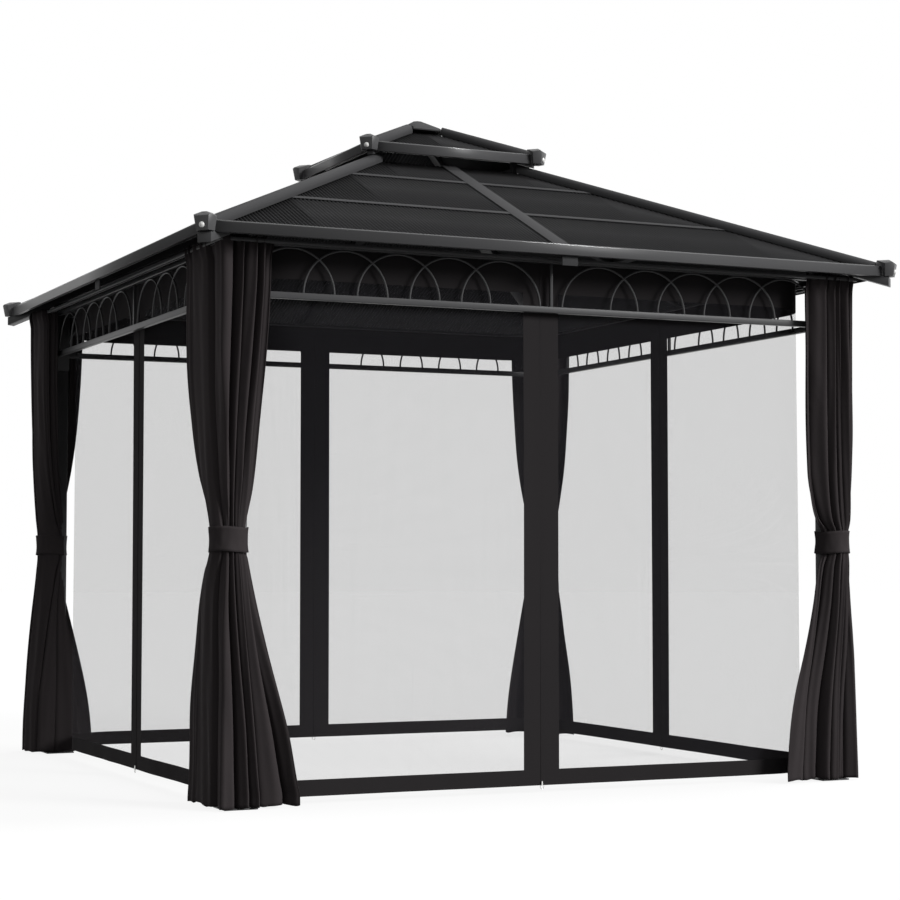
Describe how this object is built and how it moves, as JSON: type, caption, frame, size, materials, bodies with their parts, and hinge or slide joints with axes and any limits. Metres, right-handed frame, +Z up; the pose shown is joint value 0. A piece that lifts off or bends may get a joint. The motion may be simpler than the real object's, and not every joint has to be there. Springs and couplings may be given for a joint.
{
  "type": "metal gazebo",
  "caption": "Square garden gazebo with a two-tier metal roof on corner posts, arched friezes, tied curtains and netting.",
  "frame": {"origin": "centre of the square plan at ground level, under the posts' foot plates", "axes": "+Z up, +X to the right along the front side, +Y to the back; the front side with its zipped netting faces -Y"},
  "size_m": [3.079, 3.079, 2.9038],
  "materials": {
    "frame_metal": "satin dark grey powder coat",
    "cap_metal": "satin dark grey powder coat",
    "track_metal": "satin dark grey powder coat",
    "roof_sheet": "matt dark grey coating",
    "curtain_cloth": "woven, matt",
    "netting": "open mesh"
  },
  "bodies": {
    "root": {"centre_rafters": "frame_metal", "crown_frame": "frame_metal", "curtain_back_left": "curtain_cloth", "curtain_back_right": "curtain_cloth", "curtain_front_left": "curtain_cloth", "curtain_front_right": "curtain_cloth", "curtain_ties": "curtain_cloth", "curtain_track": "track_metal", "eave_corner_caps": "cap_metal", "eave_fascia_back": "frame_metal", "eave_fascia_front": "frame_metal", "eave_fascia_left": "frame_metal", "eave_fascia_right": "frame_metal", "finial_cap": "cap_metal", "frieze_back": "frame_metal", "frieze_front": "frame_metal", "frieze_left": "frame_metal", "frieze_right": "frame_metal", "hip_caps": "frame_metal", "hip_rafter_back_left": "frame_metal", "hip_rafter_back_right": "frame_metal", "hip_rafter_front_left": "frame_metal", "hip_rafter_front_right": "frame_metal", "net_back_left": "netting", "net_back_right": "netting", "net_front_left": "netting", "net_front_right": "netting", "net_track": "track_metal", "post_back_left": "frame_metal", "post_back_right": "frame_metal", "post_front_left": "frame_metal", "post_front_right": "frame_metal", "purlins_back": "frame_metal", "purlins_front": "frame_metal", "purlins_left": "frame_metal", "purlins_right": "frame_metal", "roof_sheets_back": "roof_sheet", "roof_sheets_front": "roof_sheet", "roof_sheets_left": "roof_sheet", "roof_sheets_right": "roof_sheet", "upper_corner_caps": "cap_metal", "upper_fascias": "frame_metal", "upper_frame": "frame_metal", "upper_hip_caps": "frame_metal", "upper_sheets": "roof_sheet"}
  },
  "joints": []
}
